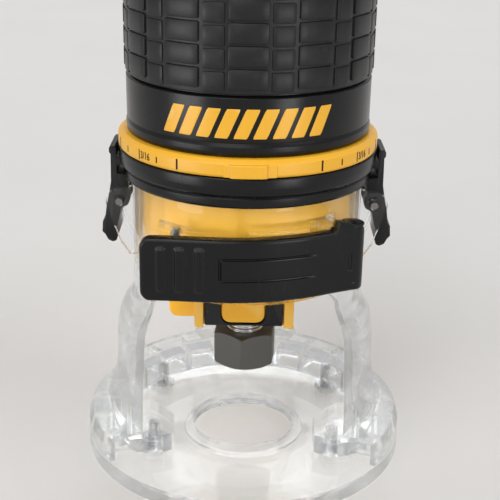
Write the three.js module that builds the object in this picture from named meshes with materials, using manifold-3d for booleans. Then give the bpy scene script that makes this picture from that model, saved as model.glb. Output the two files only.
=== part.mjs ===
// Trim router: a round motor in a clear fixed base, with its depth ring, side latches and front clamp.
// Millimetres, +Z up. The spindle's axis is X = Y = 0 and the sub-base stands on Z = 0. The front is -Y.
import * as THREE from "three";
import { mergeVertices } from "three/addons/utils/BufferGeometryUtils.js";
import Module from "manifold-3d";

const wasm = await Module();
wasm.setup();

const DEG = Math.PI / 180;
const GAP = 0.3; // between pieces that touch
const ROUND = 36; // sides of the large round parts
const SMALL_ROUND = 20; // sides of the small ones

// Base
const BASE_R = 46.75;
const FLOOR_Z = 5;
const BASE_TOP = 84.5;
const BIT_HOLE_R = 15.1;
const SLEEVE_R = 32.2;
const SLEEVE_BORE = 30.4;
const WINDOW_TOP = 56.5;
const FRONT_WINDOW = 54; // degrees each side of the front
const REAR_COLUMN = 24; // degrees each side of the back
const LEG_REAR = 112; // degrees from the front to a leg's rear edge

// Front clamp
const LEVER = { z0: 59, z1: 76, top: 78.8, thick: 2.9, knuckle: 3.5 };
const PIVOT = [27.9, -22.9];
const PIVOT_PIN = { r: 1, hole: 1.3, eye: 2.2, ear: 2.3, room: 2.75 };
const EARS = [[61.6, 63.4], [74.6, 76.2]];
const ANCHOR = [-18, -29.6];
const STRAP = { z0: 63.8, z1: 74.2, r0: 31.8, r1: 32.7, from: -27, to: 47 };

// Side latches
const LATCH = { x: 35.3, z: 77, half: 6.2, hub: 2.7, pin: 1 };
const LUG = { y0: 7, y1: 9, r: 3.6 };

// Depth ring and its carrier
const CARRIER_R = 35.7;
const CARRIER_TOP = 92.2;
const RING_R = 35.8;
const RING_TOP = 97;

// Motor
const DRUM_R = 30;
const DRUM_BOTTOM = 58;
const BARREL_R = 33.4;
const BARREL_BORE = 30.4;
const GRIP_BOTTOM = 112.9;
const CAP_BOTTOM = 165.1;
const CAP_TOP = 201.5;
const TOP = 203;
const CORE = { z0: 115, z1: 151 };
const COMMUTATOR = { z0: 161, z1: 172, r: 10.2 };
const BRUSH_Z = 166.5;
const LOCK_Z = 49;

// Spindle and collet
const SPINDLE_R = 5.3;
const SHAFT_R = 4.6;
const NUT = { flats: 17, z0: 25.5, z1: 36 };
const SHANK_R = 3.175;

// ---------- geometry helpers

function toSolid(geometry) {
  const bare = new THREE.BufferGeometry();
  bare.setAttribute("position", geometry.attributes.position);
  bare.setIndex(geometry.index);
  const merged = mergeVertices(bare, 1e-4);
  return new wasm.Manifold(
    new wasm.Mesh({
      numProp: 3,
      vertProperties: new Float32Array(merged.attributes.position.array),
      triVerts: new Uint32Array(merged.index.array),
    }),
  );
}

function fromSolid(solid) {
  const mesh = solid.getMesh();
  const geometry = new THREE.BufferGeometry();
  geometry.setAttribute("position", new THREE.BufferAttribute(mesh.vertProperties, 3));
  geometry.setIndex(new THREE.BufferAttribute(mesh.triVerts, 1));
  geometry.computeVertexNormals();
  return geometry;
}

const join = (...pieces) => fromSolid(pieces.map(toSolid).reduce((a, b) => a.add(b)));
const cut = (piece, ...tools) =>
  fromSolid(tools.map(toSolid).reduce((a, b) => a.subtract(b), toSolid(piece)));
const common = (a, b) => fromSolid(toSolid(a).intersect(toSolid(b)));

// [radius, z] outline turned about Z, listed up the outside and down the inside.
function turned(profile, sides = ROUND) {
  const points = profile.map(([r, z]) => new THREE.Vector2(r, z));
  const [first, last] = [points[0], points[points.length - 1]];
  if (first.x > 0 || last.x > 0) points.push(first.clone());
  return new THREE.LatheGeometry(points, sides).rotateX(Math.PI / 2);
}

function rod(r, z0, z1, sides = 16) {
  return new THREE.CylinderGeometry(r, r, z1 - z0, sides)
    .rotateX(Math.PI / 2)
    .translate(0, 0, (z0 + z1) / 2);
}

const rodY = (r, y0, y1, sides = 16) => rod(r, -y1, -y0, sides).rotateX(Math.PI / 2);
const tube = (r0, r1, z0, z1, sides = ROUND) =>
  turned([[r0, z0], [r1, z0], [r1, z1], [r0, z1]], sides);

function block(x0, x1, y0, y1, z0, z1) {
  return new THREE.BoxGeometry(x1 - x0, y1 - y0, z1 - z0).translate(
    (x0 + x1) / 2,
    (y0 + y1) / 2,
    (z0 + z1) / 2,
  );
}

// [x, y] outline, as a plate from z0 to z1.
function plate(outline, z0, z1) {
  const shape = new THREE.Shape(outline.map(([x, y]) => new THREE.Vector2(x, y)));
  const options = { depth: z1 - z0, bevelEnabled: false };
  return new THREE.ExtrudeGeometry(shape, options).translate(0, 0, z0);
}

// [x, z] outline, as a plate from y0 to y1.
const sidePlate = (outline, y0, y1) => plate(outline, -y1, -y0).rotateX(Math.PI / 2);

function arc(x, y, r, from, to, steps) {
  return Array.from({ length: steps + 1 }, (_, i) => {
    const angle = (from + ((to - from) * i) / steps) * DEG;
    return [x + r * Math.cos(angle), y + r * Math.sin(angle)];
  });
}

// A rectangle with a corner radius for its bottom pair and one for its top pair.
function rounded(x0, x1, y0, y1, low, high = low, steps = 4) {
  return [
    ...arc(x0 + low, y0 + low, low, 180, 270, steps),
    ...arc(x1 - low, y0 + low, low, 270, 360, steps),
    ...arc(x1 - high, y1 - high, high, 0, 90, steps),
    ...arc(x0 + high, y1 - high, high, 90, 180, steps),
  ];
}

// Polar point, its angle in degrees from the front towards +X.
const polar = (r, angle) => [r * Math.sin(angle * DEG), -r * Math.cos(angle * DEG)];

function sector(r0, r1, from, to, z0, z1, steps = 16) {
  const angles = Array.from({ length: steps + 1 }, (_, i) => from + ((to - from) * i) / steps);
  const outer = angles.map((angle) => polar(r1, angle));
  const inner = angles.map((angle) => polar(r0, angle)).reverse();
  return plate([...outer, ...inner], z0, z1);
}

// A cutting tool with radial sides: a window from one angle to another, round at its top corners.
function windowTool(from, to, z0, z1, corner) {
  const sweep = corner / 36 / DEG;
  const outline = [[from, z0], [to, z0]];
  for (const [x, y] of arc(0, 0, 1, 0, 90, 5)) {
    outline.push([to - sweep + sweep * x, z1 - corner + corner * y]);
  }
  const steps = Math.ceil((to - from - 2 * sweep) / 7);
  for (let i = 1; i < steps; i++) {
    outline.push([to - sweep - ((to - from - 2 * sweep) * i) / steps, z1]);
  }
  for (const [x, y] of arc(0, 0, 1, 90, 180, 5)) {
    outline.push([from + sweep + sweep * x, z1 - corner + corner * y]);
  }
  const geometry = plate(outline, 0, 1);
  const position = geometry.attributes.position;
  for (let i = 0; i < position.count; i++) {
    const radius = position.getZ(i) > 0.5 ? 90 : 24;
    const [x, y] = polar(radius, position.getX(i));
    position.setXYZ(i, x, y, position.getY(i));
  }
  return geometry;
}

// A coil spring about Z from z0 to z1, its radius going from r0 to r1.
class Helix extends THREE.Curve {
  constructor(r0, r1, z0, z1, turns) {
    super();
    Object.assign(this, { r0, r1, z0, z1, turns });
  }

  getPoint(t) {
    const angle = 2 * Math.PI * this.turns * t;
    const radius = this.r0 + (this.r1 - this.r0) * t;
    const z = this.z0 + (this.z1 - this.z0) * t;
    return new THREE.Vector3(radius * Math.cos(angle), radius * Math.sin(angle), z);
  }
}

function coil(r0, r1, z0, z1, turns, wire) {
  const path = new Helix(r0, r1, z0 + wire, z1 - wire, turns);
  const section = new THREE.Shape(arc(0, 0, wire, 0, 270, 3).map((p) => new THREE.Vector2(...p)));
  const options = { steps: Math.round(turns * 8), bevelEnabled: false, extrudePath: path };
  return new THREE.ExtrudeGeometry(section, options);
}

const moved = (geometry, x, y, z = 0) => geometry.translate(x, y, z);
const mirrored = (outline) => outline.map(([x, z]) => [-x, z]);

// ---------- materials

const paint = (color, roughness, metalness = 0, opacity = 1) =>
  new THREE.MeshStandardMaterial({
    color,
    roughness,
    metalness,
    opacity,
    transparent: opacity < 1,
  });

const clearPlastic = paint(0xe6ecee, 0.08, 0, 0.35);
const yellowPlastic = paint(0xfdbe2d, 0.35);
const blackPlastic = paint(0x26262a, 0.32);
const blackRubber = paint(0x2c2c2e, 0.6);
const blackOxide = paint(0x3e3c37, 0.5, 0.8);
const steel = paint(0xb8babc, 0.3, 1);
const chrome = paint(0xd8dadc, 0.12, 1);
const springSteel = paint(0x8f9294, 0.35, 1);
const lamination = paint(0x6f7275, 0.5, 0.9);
const copper = paint(0xb4683a, 0.35, 0.9);
const brass = paint(0xc9a552, 0.3, 0.9);
const carbon = paint(0x303032, 0.8);
const greenBoard = paint(0x2f6b45, 0.6);

// ---------- scene graph

const router = new THREE.Group();
const base = new THREE.Group();
const motor = new THREE.Group();
const rotor = new THREE.Group();
motor.add(rotor);
router.add(base, motor);

function add(group, name, geometry, material) {
  const mesh = new THREE.Mesh(geometry, material);
  mesh.name = name;
  group.add(mesh);
  return mesh;
}

// ---------- base housing: rim, two legs, rear column and split sleeve, in one clear moulding

function ear([x, y], radius, z0, z1) {
  const length = Math.hypot(x, y);
  const angle = Math.atan2(y, x) / DEG;
  const [ux, uy] = [x / length, y / length];
  const root = [x - ux * (length - 31), y - uy * (length - 31)];
  return plate(
    [
      ...arc(x, y, radius, angle - 90, angle + 90, 8),
      [root[0] - uy * radius, root[1] + ux * radius],
      [root[0] + uy * radius, root[1] - ux * radius],
    ],
    z0,
    z1,
  );
}

const LATCH_LUG = [
  [30.3, 61.5],
  [32.6, 62],
  [35.2, 65.5],
  ...arc(LATCH.x, LATCH.z, LUG.r, -20, 105, 8),
  [30.3, 81.5],
];
const LEFT_LUG = [[-23, -21], [-23, -29.5], [-20, -31.9], [-12, -32.3], [-2.8, -32.6], [-2.8, -29]];
const RIGHT_LUG = [[1, -29], [1, -35.4], [7, -34.9], [14, -32.8], [20, -29.5], [23.2, -27], [23.2, -20]];
const RIGHT_LUG_HOLE = [17.5, -29.8];
const SCREWS = [[-26, -13.5], [26, -13.5], [-27, 27], [27, 27]];
const SCREW_BOSS = [[-36, -4], [-29, -1], [-25.6, -4], [-20.5, -10.5], [-20.5, -21], [-26, -24], [-36, -20]];
const BOSS_TOP = 11.5;

function baseHousing() {
  const shell = turned([
    [BASE_R - 0.15, FLOOR_Z + GAP],
    [BASE_R - 0.15, 9.5],
    [45.6, 12],
    [43.4, 14.4],
    [41, 17],
    [39.6, 19.8],
    [38.3, 23.2],
    [37.6, 28.9],
    [37.4, 37.1],
    [36.6, 42.6],
    [35.4, 45.2],
    [33.6, 47.6],
    [32.5, 51],
    [SLEEVE_R, WINDOW_TOP],
    [SLEEVE_R, BASE_TOP],
    [SLEEVE_BORE, BASE_TOP],
    [SLEEVE_BORE, 57],
    [31.6, 48],
    [33.2, 44.5],
    [34.2, 41],
    [34.6, 36],
    [35.4, 20],
    [35.6, FLOOR_Z + GAP],
  ]);
  const lugs = [];
  for (const outline of [LATCH_LUG, mirrored(LATCH_LUG)]) {
    lugs.push(sidePlate(outline, LUG.y0, LUG.y1));
    lugs.push(sidePlate(outline, -LUG.y1, -LUG.y0));
  }
  for (const [z0, z1] of EARS) lugs.push(ear(PIVOT, PIVOT_PIN.ear, z0, z1));
  lugs.push(plate(LEFT_LUG, 74.9, 77));
  lugs.push(plate(LEFT_LUG, 60.3, 63.1));
  lugs.push(plate(RIGHT_LUG, 77.3, 79.3));
  const bosses = [SCREW_BOSS, mirrored(SCREW_BOSS)].map((outline) => plate(outline, FLOOR_Z + GAP, BOSS_TOP));
  const windows = [
    windowTool(-FRONT_WINDOW, FRONT_WINDOW, 0, WINDOW_TOP, 8),
    windowTool(LEG_REAR, 180 - REAR_COLUMN, 16, WINDOW_TOP - 2, 6),
    windowTool(180 + REAR_COLUMN, 360 - LEG_REAR, 16, WINDOW_TOP - 2, 6),
  ];
  const holes = [
    block(-2.45, -0.15, -40, -28, 50, 90), // the slit that the clamp closes
    rod(SLEEVE_BORE, 57, 90, ROUND),
    sector(31.4, 33.5, -36, 60, STRAP.z0 - 0.4, STRAP.z1 + 0.4),
    moved(rod(PIVOT_PIN.hole, 58, 80, 16), ...PIVOT),
    moved(rod(1.5, 58, 80, 16), ...ANCHOR),
    moved(rod(1.2, 76, 81, 16), ...RIGHT_LUG_HOLE),
    rodY(LATCH.pin + GAP, -12, 12).translate(LATCH.x, 0, LATCH.z),
    rodY(LATCH.pin + GAP, -12, 12).translate(-LATCH.x, 0, LATCH.z),
    ...SCREWS.map(([x, y]) => moved(rod(1.7, 0, 10.5, 16), x, y)),
  ];
  return cut(join(cut(shell, ...windows), ...lugs, ...bosses), ...holes);
}

// ---------- sub-base and its screws

function subBase() {
  const disc = tube(BIT_HOLE_R, BASE_R, 0, FLOOR_Z);
  const bushRecess = tube(BIT_HOLE_R - 1, 18, -1, 1.6);
  const holes = SCREWS.map(([x, y]) => moved(rod(2, -1, 6, 16), x, y));
  const headSeats = SCREWS.map(([x, y]) => moved(rod(3.9, -1, 2.6, 16), x, y));
  const notches = [-24, 24].map((side) => {
    const [x, y] = polar(BIT_HOLE_R, 180 + side);
    return moved(rod(1.3, -1, 6, 12), x, y);
  });
  return cut(disc, bushRecess, ...holes, ...headSeats, ...notches);
}

function panScrew(head, shaft, length) {
  const turnedScrew = turned(
    [[0, 0], [head, 0.4], [head, 2], [shaft, 2], [shaft, length - 0.8], [0, length]],
    12,
  );
  const slot = block(-head * 0.6, head * 0.6, -0.4, 0.4, -1, 0.9);
  return cut(turnedScrew, slot, slot.clone().rotateZ(Math.PI / 2));
}

add(base, "base_housing", baseHousing(), clearPlastic);
add(base, "sub_base", subBase(), clearPlastic);
SCREWS.forEach(([x, y], i) => {
  const screw = add(base, `sub_base_screw_${i + 1}`, panScrew(3.5, 1.4, 9.8), steel);
  screw.position.set(x, y, 0.3);
});

// ---------- front clamp: lever, steel strap and their two pins

const LEVER_FACE = [
  [-26, -35.4],
  [-20.5, -35.4],
  [-11.6, -36.1],
  [-6.5, -36.4],
  [0.3, -36.2],
  [6.2, -35.4],
  [13.8, -33.4],
  [17.8, -31.3],
  [23.7, -28.4],
  [27.8, -26.5],
  [30.1, -25.4],
  [31.2, -24.1],
  [31.4, -22.3],
];
const LEVER_BLOCK = [[23.6, 70], [33, 70], [33, 76.2], [31, 76.8], [24.3, LEVER.top], [23.6, 78.4]];

function lever() {
  const inner = LEVER_FACE.map(([x, y], i) => {
    const [a, b] = [LEVER_FACE[Math.max(i - 1, 0)], LEVER_FACE[Math.min(i + 1, LEVER_FACE.length - 1)]];
    const length = Math.hypot(b[0] - a[0], b[1] - a[1]);
    const normal = [-(b[1] - a[1]) / length, (b[0] - a[0]) / length];
    return [x + normal[0] * LEVER.thick, y + normal[1] * LEVER.thick];
  });
  const outline = [...LEVER_FACE, PIVOT, ...inner.slice(0, -4).reverse()];
  const knuckle = moved(rod(LEVER.knuckle, LEVER.z0, LEVER.top), ...PIVOT);
  const front = join(
    sidePlate(rounded(-27, 33, LEVER.z0, LEVER.z1, 2.9), -45, 0),
    sidePlate(LEVER_BLOCK, -45, 0),
  );
  const body = common(join(plate(outline, LEVER.z0, LEVER.top), knuckle), front);
  const [roomLow, roomHigh] = [EARS[0][0] - GAP, EARS[1][1] + GAP];
  const eyeRoom = moved(rod(PIVOT_PIN.room, roomLow, roomHigh, 20), ...PIVOT);
  const armRoom = plate([PIVOT, ...arc(...PIVOT, 6.5, -30, 212, 17)], roomLow, roomHigh);
  const hole = moved(rod(PIVOT_PIN.hole, 50, 90, 16), ...PIVOT);
  const sleeveRoom = rod(SLEEVE_R + 0.7, 50, 90, ROUND);
  return cut(body, eyeRoom, armRoom, hole, sleeveRoom);
}

function strapArm([x, y], angle) {
  const [bx, by] = polar((STRAP.r0 + STRAP.r1) / 2, angle);
  const length = Math.hypot(bx - x, by - y);
  const arm = block(-0.4, length + 0.4, -0.45, 0.45, STRAP.z0, STRAP.z1);
  return arm.rotateZ(Math.atan2(by - y, bx - x)).translate(x, y, 0);
}

function strap() {
  const band = sector(STRAP.r0, STRAP.r1, STRAP.from, STRAP.to, STRAP.z0, STRAP.z1, 20);
  const eyes = [
    moved(rod(2.3, STRAP.z0, STRAP.z1, 20), ...ANCHOR),
    moved(rod(PIVOT_PIN.eye, STRAP.z0, STRAP.z1, 20), ...PIVOT),
  ];
  const bores = [
    moved(rod(1.5, 60, 80, 16), ...ANCHOR),
    moved(rod(PIVOT_PIN.hole, 60, 80, 16), ...PIVOT),
  ];
  const arms = [strapArm(ANCHOR, STRAP.from + 0.8), strapArm(PIVOT, STRAP.to - 0.8)];
  return cut(join(band, ...arms, ...eyes), ...bores);
}

add(base, "clamp_lever", lever(), blackPlastic);
add(base, "clamp_strap", strap(), steel);
const pivotPin = add(base, "lever_pivot_pin", rod(PIVOT_PIN.r, LEVER.z0 + 0.3, 76.8, 16), steel);
pivotPin.position.set(...PIVOT, 0);
add(base, "strap_anchor_pin", rod(1.2, 60, 77.2, 16), steel).position.set(...ANCHOR, 0);

// ---------- side latches with their pins and springs

const LATCH_SIDE = [
  [36.05, 91.4],
  [36.05, 89.2],
  [34.4, 89.2],
  [34.7, 86.8],
  [36.05, 86.8],
  [36.05, 84.2],
  [33.5, 83.9],
  [33.3, 79.8],
  ...arc(LATCH.x, LATCH.z, LATCH.hub, 140, 225, 6),
  [35, 74.4],
  [36.3, 68.4],
  [36, 66.4],
  [36.6, 64.6],
  [37.6, 64.2],
  [38.9, 64.8],
  [39.7, 66.4],
  [40.5, 67.2],
  [40.3, 70.3],
  [39.6, 71],
  [39.2, 74.3],
  [38.3, 78.5],
  [37.7, 82],
  [37.6, 89.8],
  [38, 90.3],
  [38, 91.6],
  [37.4, 92.1],
  [36.4, 92.1],
];

for (const [side, sign] of [["left", -1], ["right", 1]]) {
  const outline = sign < 0 ? mirrored(LATCH_SIDE) : LATCH_SIDE;
  const latch = cut(
    sidePlate(outline, -LATCH.half, LATCH.half),
    rodY(LATCH.pin + 0.35, -9, 9).translate(sign * LATCH.x, 0, LATCH.z),
    rodY(3.1, -2.7, 2.7).translate(sign * LATCH.x, 0, LATCH.z),
  );
  add(base, `${side}_latch`, latch, blackPlastic);
  const pin = add(base, `${side}_latch_pin`, rodY(LATCH.pin, -9.2, 9.2), steel);
  pin.position.set(sign * LATCH.x, 0, LATCH.z);
  const spring = add(base, `${side}_latch_spring`, coil(2.1, 2.1, -2.3, 2.3, 4, 0.4), springSteel);
  spring.position.set(sign * LATCH.x, 0, LATCH.z);
  spring.rotation.x = Math.PI / 2;
}

// ---------- ring carrier and depth ring

function ringCarrier() {
  const body = turned(
    [
      [SLEEVE_BORE + 0.1, BASE_TOP + GAP],
      [33.4, BASE_TOP + GAP],
      [34.8, 85.3],
      [35.5, 86.4],
      [CARRIER_R, 88],
      [CARRIER_R, 89.2],
      [CARRIER_R - 0.25, 89.5],
      [CARRIER_R, 89.8],
      [CARRIER_R, CARRIER_TOP],
      [SLEEVE_BORE + 0.1, CARRIER_TOP],
    ],
  );
  const pockets = [1, -1].map((sign) =>
    block(Math.min(sign * 34, sign * 37), Math.max(sign * 34, sign * 37), -6.9, 6.9, 86.2, 89.7),
  );
  return cut(body, ...pockets);
}

function depthRing() {
  const body = turned(
    [
      [SLEEVE_BORE + 0.1, CARRIER_TOP + GAP],
      [RING_R - 0.6, CARRIER_TOP + GAP],
      [RING_R, 93.1],
      [RING_R, 96.4],
      [RING_R - 0.6, RING_TOP],
      [SLEEVE_BORE + 0.1, RING_TOP],
    ],
  );
  const tab = sidePlate(rounded(-5.2, 5.4, 92.7, 96, 0.5), -36.6, -34);
  return join(body, tab);
}

add(base, "ring_carrier", ringCarrier(), blackPlastic);
add(base, "depth_ring", depthRing(), yellowPlastic);

// ---------- motor shell

function motorHousing() {
  return turned([
    [BARREL_BORE, RING_TOP + GAP],
    [BARREL_R - 0.6, RING_TOP + GAP],
    [BARREL_R, 97.9],
    [BARREL_R, 100.2],
    [BARREL_R - 0.4, 100.5],
    [BARREL_R, 100.8],
    [BARREL_R, 112.1],
    [32.4, GRIP_BOTTOM - 0.4],
    [32.4, CAP_BOTTOM - GAP],
    [BARREL_BORE, CAP_BOTTOM - GAP],
    [BARREL_BORE, 114.7],
    [28.6, 114.5],
    [28.6, 111.6],
    [BARREL_BORE, 111.5],
  ]);
}

function noseHousing() {
  const drum = turned([
    [7.2, DRUM_BOTTOM],
    [DRUM_R - 1, DRUM_BOTTOM],
    [DRUM_R, DRUM_BOTTOM + 1],
    [DRUM_R, 111.1],
    [27, 111.1],
    [27, 61.7],
    [16.3, 61.7],
    [16.3, 70.6],
    [13.3, 70.6],
    [13.3, 61.7],
    [7.2, 61.7],
  ]);
  const nose = block(-14.3, 13.8, -14.4, 12, 41.5, DRUM_BOTTOM + 0.5);
  const sideBoss = sidePlate(rounded(-21.5, -13.5, 44, DRUM_BOTTOM + 0.5, 2.5, 0.1), -12, -2);
  return cut(
    join(drum, nose, sideBoss),
    rod(9.3, 40, DRUM_BOTTOM),
    rod(7.2, 40, 61.7),
    block(-11.8, 11.1, -20, -11.6, 40, 57.7),
    block(-7.2, 6.2, -20, -9.9, 42.6, 55),
    rodY(2.4, -20, 0).translate(-0.5, 0, LOCK_Z),
  );
}

function noseCover() {
  return cut(
    block(-11.4, 10.7, -14.2, -11.9, 42.3, 57.4),
    sidePlate(rounded(-6.95, 5.95, 42.85, 54.9, 2.7, 1), -20, 0),
    ...[-9.2, 8.4].map((x) => rodY(1, -20, 0, 12).translate(x, 0, 50)),
  );
}

function lockButton() {
  const pad = sidePlate(rounded(-6.6, 5.6, 43.2, 54.5, 2.5, 0.8), -14.1, -12.2);
  return join(pad, rodY(2, -12.4, -7.7).translate(-0.5, 0, LOCK_Z));
}

add(motor, "motor_housing", motorHousing(), blackPlastic);
add(motor, "grip_sleeve", tube(32.7, 33.8, GRIP_BOTTOM, CAP_BOTTOM - GAP), blackRubber);
add(motor, "nose_housing", noseHousing(), yellowPlastic);
add(motor, "nose_cover", noseCover(), blackPlastic);
add(motor, "spindle_lock_button", lockButton(), yellowPlastic);
const lockSpring = add(motor, "lock_spring", coil(2.9, 3.5, 10.2, 12.05, 2, 0.35), springSteel);
lockSpring.rotation.x = Math.PI / 2;
lockSpring.position.set(-0.5, 0, LOCK_Z);

// ---------- top cap, switch, dial, gland and cap screws

const SWITCH_Z = 178.5;
const DIAL = [0, -11];
const GLAND = [0, 10.5];
const CAP_SCREWS = [60, 180, 300].map((angle) => polar(22, angle));

function topCap() {
  const shell = turned([
    [0, 198.5],
    [24.5, 198.5],
    [27.5, 196.5],
    [29.8, 190],
    [30.4, 182],
    [30.4, CAP_BOTTOM],
    [33.6, CAP_BOTTOM],
    [33.6, 186],
    [33, 191.5],
    [31.2, 196.5],
    [28.6, 200.2],
    [26.5, CAP_TOP],
    [0, CAP_TOP],
  ]);
  const pad = sidePlate(rounded(-13, 13, SWITCH_Z - 10.5, SWITCH_Z + 10.5, 3), -35.2, -29.2);
  const vents = [60, 80, 100, 120, 140, 220, 240, 260, 280, 300].map((angle) =>
    block(-1.2, 1.2, -40, -25, 169, 182).rotateZ(angle * DEG),
  );
  return cut(
    join(shell, pad),
    rod(BARREL_BORE - 0.1, 160, 181, ROUND),
    block(-10.2, 10.2, -40, -25, SWITCH_Z - 7.9, SWITCH_Z + 7.9),
    moved(rod(8.4, 195, 210), ...DIAL),
    moved(rod(5.6, 195, 210), ...GLAND),
    ...CAP_SCREWS.map(([x, y]) => moved(rod(2.1, 195, 210, 16), x, y)),
    ...CAP_SCREWS.map(([x, y]) => moved(rod(3.5, 199.6, 210, 16), x, y)),
    ...vents,
  );
}

function switchBody() {
  return cut(
    block(-9.8, 9.8, -34.6, -27.7, SWITCH_Z - 7.6, SWITCH_Z + 7.6),
    block(-8.9, 8.9, -40, -29.2, SWITCH_Z - 6.3, SWITCH_Z + 6.3),
  );
}

function rocker() {
  const outline = [[-31, -5], [-35, -5.2], [-34.6, 0], [-36.2, 5.2], [-31, 5]];
  const side = plate(outline, -8.5, 8.5).rotateY(Math.PI / 2).rotateX(Math.PI / 2);
  return side;
}

function dial() {
  const ribs = Array.from({ length: 12 }, (_, i) =>
    block(-0.5, 0.5, -8.2, -7.2, 201.8, TOP).rotateZ(i * 30 * DEG),
  );
  return cut(join(rod(8, 197, TOP, 24), rod(2, 192, 198, 12)), ...ribs);
}

add(motor, "top_cap", topCap(), yellowPlastic);
add(motor, "switch_body", switchBody(), blackPlastic);
add(motor, "switch_rocker", rocker(), blackPlastic).position.set(0, 0, SWITCH_Z);
add(motor, "speed_dial", dial(), blackPlastic).position.set(...DIAL, 0);
add(motor, "speed_control", block(-9, 9, -18, -4, 186.8, 191.6), greenBoard);
const glandProfile = [[3.6, 196.5], [5.2, 196.5], [5.2, 201.8], [6.4, 201.8], [6.4, TOP], [3.6, TOP]];
add(motor, "cord_gland", turned(glandProfile, 24), blackRubber).position.set(...GLAND, 0);
CAP_SCREWS.forEach(([x, y], i) => {
  const screw = add(motor, `cap_screw_${i + 1}`, panScrew(3.1, 1.7, 18), steel);
  screw.position.set(x, y, 202);
  screw.rotation.x = Math.PI;
});

// ---------- bearings

function bearing(name, innerR, outerR, z0, z1) {
  const third = (outerR - innerR) / 3;
  const middle = (innerR + outerR) / 2;
  const half = (z1 - z0) / 2;
  const ballR = (outerR - innerR) / 6 - 0.1;
  const inner = tube(innerR, innerR + third - 0.2, z0, z1, SMALL_ROUND);
  const outer = tube(outerR - third + 0.2, outerR, z0, z1, SMALL_ROUND);
  const cage = tube(middle - 0.5, middle + 0.5, z0 + half - 1.4, z0 + half + 1.4, 21);
  const balls = Array.from({ length: 7 }, (_, i) => {
    const [x, y] = polar(middle, (i * 360) / 7);
    return moved(new THREE.SphereGeometry(ballR, 6, 4), x, y, z0 + half);
  });
  add(motor, `${name}_bearing_outer`, outer, steel);
  add(rotor, `${name}_bearing_inner`, inner, steel);
  add(rotor, `${name}_bearing_balls`, join(cage, ...balls), steel);
}

bearing("lower", 5.3, 13, 62, 70);
bearing("upper", 4.3, 11, 177.5, 184.5);

function bearingBridge() {
  const plateAndSeat = turned([
    [5.4, 174.6],
    [27, 174.6],
    [27, 177],
    [14, 177],
    [14, 185],
    [11.3, 185],
    [11.3, 177.2],
    [5.4, 177.2],
  ]);
  const posts = CAP_SCREWS.map(([x, y]) => moved(rod(3.4, 175, 197.4), x, y));
  const holes = CAP_SCREWS.map(([x, y]) => moved(rod(2, 180, 200, 16), x, y));
  return cut(join(plateAndSeat, ...posts), ...holes);
}

add(motor, "bearing_bridge", bearingBridge(), blackPlastic);

// ---------- stator, field coils and brushes

function statorCore() {
  const ring = tube(27, 29.9, CORE.z0, CORE.z1);
  const poles = [0, 180].map((angle) =>
    join(
      block(-11.9, 11.9, -27.2, -17, CORE.z0, CORE.z1),
      sector(16.8, 18.4, -50, 50, CORE.z0, CORE.z1),
    ).rotateZ(angle * DEG),
  );
  return cut(join(ring, ...poles), rod(16.8, 100, 160, ROUND));
}

function fieldCoil() {
  const outline = rounded(-17.3, 17.3, CORE.z0 - 5.2, CORE.z1 + 5.2, 4);
  const opening = rounded(-12.2, 12.2, CORE.z0 - 0.3, CORE.z1 + 0.3, 1);
  return cut(sidePlate(outline, -20.3, -18.7), sidePlate(opening, -25, -10));
}

add(motor, "stator_core", statorCore(), lamination);
add(motor, "field_coil_front", fieldCoil(), copper);
add(motor, "field_coil_rear", fieldCoil(), copper).rotation.z = Math.PI;

for (const [side, turn] of [["left", 180], ["right", 0]]) {
  const holder = cut(block(11.6, 26.5, -4.5, 4.5, -4, 4), block(5, 30, -3.4, 3.4, -2.9, 2.9));
  const spring = coil(1.9, 1.9, 19.4, 26.3, 4, 0.3).rotateY(Math.PI / 2);
  for (const [name, geometry, material] of [
    ["brush_holder", holder, brass],
    ["carbon_brush", block(10.6, 19, -3, 3, -2.5, 2.5), carbon],
    ["brush_spring", spring, springSteel],
  ]) {
    const piece = add(motor, `${name}_${side}`, geometry, material);
    piece.position.z = BRUSH_Z;
    piece.rotation.z = turn * DEG;
  }
}

// ---------- rotor: spindle, collet, nut, lock collar, fan, armature and commutator

function spindle() {
  return turned(
    [
      [0, 44.5],
      [4.3, 43],
      [4.3, 27.3],
      [SPINDLE_R, 27.3],
      [SPINDLE_R, 36.4],
      [4.9, 36.8],
      [4.9, 37.4],
      [SPINDLE_R, 37.8],
      [SPINDLE_R, 39.4],
      [4.9, 39.8],
      [4.9, 40.6],
      [5.2, 41],
      [5.2, 54],
      [6.4, 54],
      [6.4, 61.7],
      [5, 61.7],
      [5, 71],
      [SHAFT_R, 71.4],
      [SHAFT_R, 175],
      [4, 175.4],
      [4, 185.2],
      [0, 185.2],
    ],
    SMALL_ROUND,
  );
}

function collet() {
  const sleeve = tube(SHANK_R, 4, 24.7, 41.5, SMALL_ROUND);
  const slits = [0, 90].map((angle) => block(-0.3, 0.3, 0, 6, 20, 36).rotateZ(angle * DEG));
  return cut(sleeve, ...slits);
}

function colletNut() {
  const across = NUT.flats / Math.sqrt(3);
  const hexagon = arc(0, 0, across, 24, 324, 5);
  const chamfers = turned(
    [[0, NUT.z0], [8.7, NUT.z0], [9.9, NUT.z0 + 0.9], [9.9, NUT.z1 - 0.9], [8.7, NUT.z1], [0, NUT.z1]],
    24,
  );
  return cut(
    common(plate(hexagon, NUT.z0, NUT.z1), chamfers),
    rod(4.35, 20, 28, SMALL_ROUND),
    rod(5.6, 27, 40, SMALL_ROUND),
  );
}

function lockCollar() {
  const crossHoles = [0, 90].map((angle) =>
    rodY(2.8, -10, 10).translate(0, 0, LOCK_Z).rotateZ(angle * DEG),
  );
  return cut(tube(5.5, 7.4, 45.5, 52.5, SMALL_ROUND), ...crossHoles);
}

function fan() {
  const blades = Array.from({ length: 9 }, (_, i) =>
    block(-0.7, 0.7, -25, -7.4, 92, 102.4).rotateZ(i * 40 * DEG),
  );
  const hub = turned([[4.9, 92], [8, 92], [8, 102], [25.5, 102], [25.5, 104], [4.9, 104]]);
  return join(hub, ...blades);
}

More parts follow.
